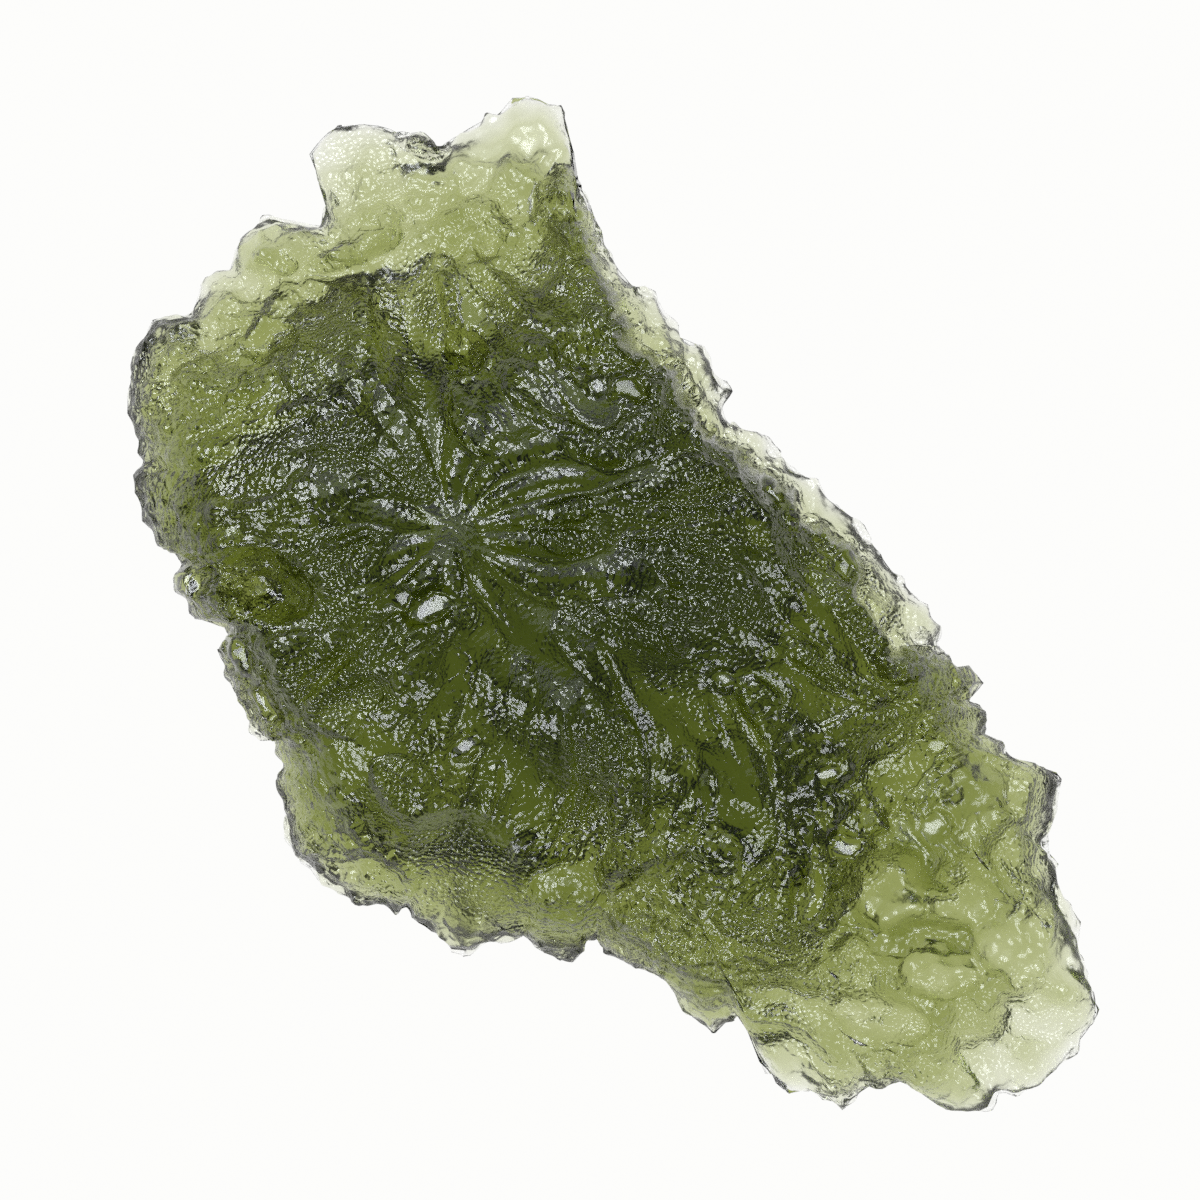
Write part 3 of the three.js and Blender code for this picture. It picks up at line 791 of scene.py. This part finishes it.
# %% [markdown]
# ## Dots, etch and satin
# The finest texture is too small for the mesh, so the material makes it, and the mesh only says how
# strong it is at each point. On the upper face it is a honeycomb of weak dots, which glint where a flute
# already leans towards a light. On the underside, on steep walls and in the dark patches it is strong
# etched noise, which sends light sideways and makes dark veins. Satin is a dull, frosted surface.

# %% Strengths of the finest texture
GLINT_PATCHES = [
    (571, 214, 34, 50, -15, 1.0), (342, 446, 40, 34, 0, 1.0), (240, 420, 70, 60, 0, 0.5),
    (260, 470, 70, 40, 0, 0.4),
]
ETCHED_PATCHES = [
    (571, 214, 36, 52, -15, 1.0), (422, 138, 30, 16, 20, 0.8), (242, 692, 30, 62, -25, 1.0),
    (215, 592, 36, 34, 0, 1.0), (680, 945, 90, 26, 25, 0.8), (905, 655, 26, 34, 60, 0.7),
    (945, 735, 30, 24, 60, 0.7), (860, 1095, 40, 16, 0, 0.6), (590, 362, 34, 22, 20, 0.5),
]
# Lowest strength, and what is added where the surface is lively
CLEAR_DOTS = (0.15, 0.3)
FROSTED_DOTS = (0.05, 0.3)
GLINT_DOTS = 0.5
FACET_FADE = 0.9
UNDER_ETCH = 0.3
FROSTED_ETCH = 0.15
ETCH_THICKNESS = (0.5, 3.5)
WALL_FACING = (0.45, 0.9)
WALL_ETCH = 0.35
FROSTED_WALL = 0.5
# Lowest strength, and what frost adds
UNDER_SATIN = (0.4, 0.1)
TOP_SATIN = 0.25

clear_dots = CLEAR_DOTS[0] + CLEAR_DOTS[1] * island * lively
frosted_dots = FROSTED_DOTS[0] + FROSTED_DOTS[1] * lively
dots = np.where(side < 0, 0, clear_dots * (1 - frost) + frosted_dots * frost)
dots = np.maximum(dots, patch(GLINT_PATCHES) * GLINT_DOTS * (side > 0)) * (1 - FACET_FADE * faceted)

steep = 1 - smoothstep(np.abs(normals[:, 2]), *WALL_FACING)
under_etch = at_least(UNDER_ETCH, island) * smoothstep(thickness, *ETCH_THICKNESS) * (1 - frost)
etch = np.where(side < 0, under_etch + FROSTED_ETCH * frost, 0)
etch = np.maximum(etch, WALL_ETCH * steep * (1 - FROSTED_WALL * frost))
etch = np.maximum(etch, patch(ETCHED_PATCHES)) * (1 - FACET_FADE * faceted * (side > 0))

satin = np.where(side < 0, UNDER_SATIN[0] + UNDER_SATIN[1] * frost, TOP_SATIN * frost)
print("mean of dots, etch and satin:", dots.mean().round(2), etch.mean().round(2), satin.mean().round(2))

# %% [markdown]
# ## The mesh
# The arrays go into a mesh with foreach_set, which takes whole arrays at once and is far faster than a
# loop over points. Smooth shading lets the glass bend light by the points' normals. The strengths of the
# finest texture become attributes, which the material reads by name.

# %% Stone mesh
stone_mesh = bpy.data.meshes.new("stone")
stone_mesh.vertices.add(len(carved))
stone_mesh.vertices.foreach_set("co", (carved * MM).ravel())
stone_mesh.loops.add(triangles.size)
stone_mesh.loops.foreach_set("vertex_index", triangles.ravel().astype(np.int32))
stone_mesh.polygons.add(len(triangles))
stone_mesh.polygons.foreach_set("loop_start", np.arange(0, triangles.size, 3, dtype=np.int32))
stone_mesh.polygons.foreach_set("use_smooth", np.ones(len(triangles), dtype=bool))
stone_mesh.update(calc_edges=True)
stone = bpy.data.objects.new("carved_stone", stone_mesh)
bpy.context.scene.collection.objects.link(stone)
for name, values in (("dots", dots), ("etch", etch), ("satin", satin)):
    stone_mesh.attributes.new(name, "FLOAT", "POINT").data.foreach_set("value", values.astype(np.float32))
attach(stone, "root")
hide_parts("stone")
print("stone mesh", len(stone_mesh.vertices), "vertices, had faults:", stone_mesh.validate())

# %% [markdown]
# ## Green glass
# Light loses its red and blue on the way through the stone. A green surface colour would look the same
# at every thickness, so the colour is a plain absorption in the volume, with clear glass on the surface.
# The thin ends turn pale and the thick body dark by themselves. The dots and the etch are one bump. A
# small class lets the shader's maths be written as Python expressions.


# %% Shader expressions
class Value:
    """A socket of a node tree; arithmetic on it adds Math nodes to the tree."""

    def __init__(self, tree, socket):
        self.tree, self.socket = tree, socket

    def math(self, operation, first, second):
        """A Math node of this operation; each of its two inputs is a link or a number."""
        node = self.tree.nodes.new("ShaderNodeMath")
        node.operation = operation
        for slot, value in zip(node.inputs, (first, second)):
            if isinstance(value, Value):
                self.tree.links.new(value.socket, slot)
            else:
                slot.default_value = value
        return Value(self.tree, node.outputs[0])

    def __add__(self, other):
        return self.math("ADD", self, other)

    def __radd__(self, other):
        return self.math("ADD", other, self)

    def __mul__(self, other):
        return self.math("MULTIPLY", self, other)

    def __rmul__(self, other):
        return self.math("MULTIPLY", other, self)


class Finish:
    """A material and one way to add nodes to it."""

    def __init__(self, name):
        self.material = bpy.data.materials.new(name)
        self.material.use_nodes = True
        self.tree = self.material.node_tree
        self.tree.nodes.clear()

    def node(self, kind, settings=None, output=0, **sockets):
        """A node of this kind: its settings first, then values or links; returns one output."""
        made = self.tree.nodes.new("ShaderNode" + kind)
        for name, value in (settings or {}).items():
            setattr(made, name, value)
        for name, value in sockets.items():
            slot = next(s for s in made.inputs if name in (s.identifier, s.name.replace(" ", "_")))
            if isinstance(value, Value):
                self.tree.links.new(value.socket, slot)
            else:
                slot.default_value = value
        return Value(self.tree, made.outputs[output]) if made.outputs else made


# %% Glass of the stone
ABSORBED_PER_M = np.array([465.0, 415.0, 880.0])
DENSITY = 900.0
DOT_SCALE = 7500.0
DOT_DEPTH = 0.0001
ETCH_SCALE = 3000.0
ETCH_DEPTH = 4.5
POLISH = 0.14
DULLNESS = 0.3
IOR = 1.5

glass = Finish("green glass")
place = glass.node("TexCoord", output="Object")
dotted = glass.node("Attribute", {"attribute_name": "dots"}, output="Fac")
etched = glass.node("Attribute", {"attribute_name": "etch"}, output="Fac")
frosted = glass.node("Attribute", {"attribute_name": "satin"}, output="Fac")
cell = glass.node("TexVoronoi", {"feature": "F1"}, output="Distance", Vector=place, Scale=DOT_SCALE)
sand = glass.node("TexNoise", output="Fac", Vector=place, Scale=ETCH_SCALE, Detail=1.0)
texture = cell * cell * dotted + sand * etched * ETCH_DEPTH
dimpled = glass.node("Bump", Strength=1.0, Distance=DOT_DEPTH, Height=texture)
surface = glass.node(
    "BsdfPrincipled", Base_Color=(1, 1, 1, 1), Roughness=POLISH + DULLNESS * frosted, IOR=IOR,
    Transmission_Weight=1.0, Normal=dimpled)
absorbed = glass.node(
    "VolumeAbsorption", Color=(*(1 - ABSORBED_PER_M / DENSITY), 1), Density=DENSITY)
glass.node("OutputMaterial", Surface=surface, Volume=absorbed)
stone_mesh.materials.append(glass.material)
print("absorbed per mm:", ABSORBED_PER_M / 1000)

# %% [markdown]
# ## The table
# The stone lies on a pale, evenly lit table. A plain white plane would have a shadow under the stone, and
# the thin glass would be dull. So the table shines a little itself, as a light table does. It lies a hair
# below the stone, so that no two faces share a place.

# %% Pale table
TABLE_HALF = 1.0
TABLE_GAP = 0.00002
TABLE_COLOUR = (1.0, 1.0, 0.985, 1)
TABLE_GLOW = 0.98

table_mesh = bpy.data.meshes.new("table")
corners = [(a * TABLE_HALF, b * TABLE_HALF, -TABLE_GAP) for a, b in ((-1, -1), (1, -1), (1, 1), (-1, 1))]
table_mesh.from_pydata(corners, [], [(0, 1, 2, 3)])
table = bpy.data.objects.new("table", table_mesh)
bpy.context.scene.collection.objects.link(table)
white = Finish("pale table")
glow = white.node("Emission", Color=TABLE_COLOUR, Strength=TABLE_GLOW)
white.material.cycles.emission_sampling = "NONE"
white.node("OutputMaterial", Surface=glow)
table_mesh.materials.append(white.material)
print("table, m:", 2 * TABLE_HALF)

# %% [markdown]
# ## Soft lights
# Five small bright lamps stand around the stone and lean about half way down. Each shows in the dots,
# crests and facets that lean towards it, which makes the glints. One large dim lamp higher up gives the
# flutes a grey sheen, so that they look embossed. A single large lamp would only haze the whole face.

# %% Room and lamps
ROOM_COLOUR = (0.75, 0.8, 0.9, 1)
ROOM_STRENGTH = 0.18
LAMP_COLOUR = (0.92, 0.96, 1.0)
LIGHT_DISTANCE = 0.4
# Name, turn from the picture's right and lean from upright in degrees, size in metres, radiance
SOFT_LIGHTS = [
    ("left", 150, 50, 0.16, 12), ("top", 78, 52, 0.16, 10.5), ("low_left", 222, 54, 0.15, 9),
    ("right", 6, 52, 0.15, 7.5), ("low_right", 292, 54, 0.15, 8), ("sheen", 115, 38, 0.42, 0.9),
]

scene = bpy.context.scene
world = bpy.data.worlds.new("room")
world.use_nodes = True
world.node_tree.nodes["Background"].inputs["Color"].default_value = ROOM_COLOUR
world.node_tree.nodes["Background"].inputs["Strength"].default_value = ROOM_STRENGTH
world.cycles.sampling_method = "NONE"
scene.world = world


def soft_light(name, turn, lean, size, radiance):
    """A square area light that looks at the stone, as strong as its radiance times pi times its area."""
    data = bpy.data.lights.new(name, "AREA")
    data.size, data.energy, data.color = size, radiance * math.pi * size ** 2, LAMP_COLOUR
    lamp = bpy.data.objects.new(name, data)
    around, down = LONG_AXIS_TURN + math.radians(turn), math.radians(lean)
    lamp.location = (LIGHT_DISTANCE * math.sin(down) * math.cos(around),
                     LIGHT_DISTANCE * math.sin(down) * math.sin(around), LIGHT_DISTANCE * math.cos(down))
    aim = -lamp.location
    lamp.rotation_euler = aim.to_track_quat("-Z", "Y").to_euler()
    scene.collection.objects.link(lamp)


for lamp_row in SOFT_LIGHTS:
    soft_light(*lamp_row)

# %% [markdown]
# ## Camera and picture
# The camera looks straight down from high above, turned so that the stone lies as it was seen. The
# denoiser takes glints of one or two pixels for noise and wipes them out, so it is off. Adaptive
# sampling, which stops early where little changes, would miss them too.

# %% Camera straight above
CAMERA_HEIGHT = 0.35
# Height above the table at which the picture's scale holds
SCALE_HEIGHT = 0.005
SENSOR = 36.0
PICTURE_PX = 1200
PICTURE_WIDTH = PICTURE_PX * MM_PER_PX

optics = bpy.data.cameras.new("camera")
optics.sensor_width = SENSOR
optics.lens = SENSOR * (CAMERA_HEIGHT - SCALE_HEIGHT) / (PICTURE_WIDTH * MM)
camera = bpy.data.objects.new("camera", optics)
camera.location = (*(from_photo((PICTURE_PX / 2, PICTURE_PX / 2)) * MM), CAMERA_HEIGHT)
camera.rotation_euler = (0, 0, LONG_AXIS_TURN)
scene.collection.objects.link(camera)
scene.camera = camera
scene.view_settings.view_transform = "Standard"
scene.cycles.use_light_tree = False
scene.cycles.use_denoising = False
scene.cycles.use_adaptive_sampling = False
print("lens", round(optics.lens, 1))
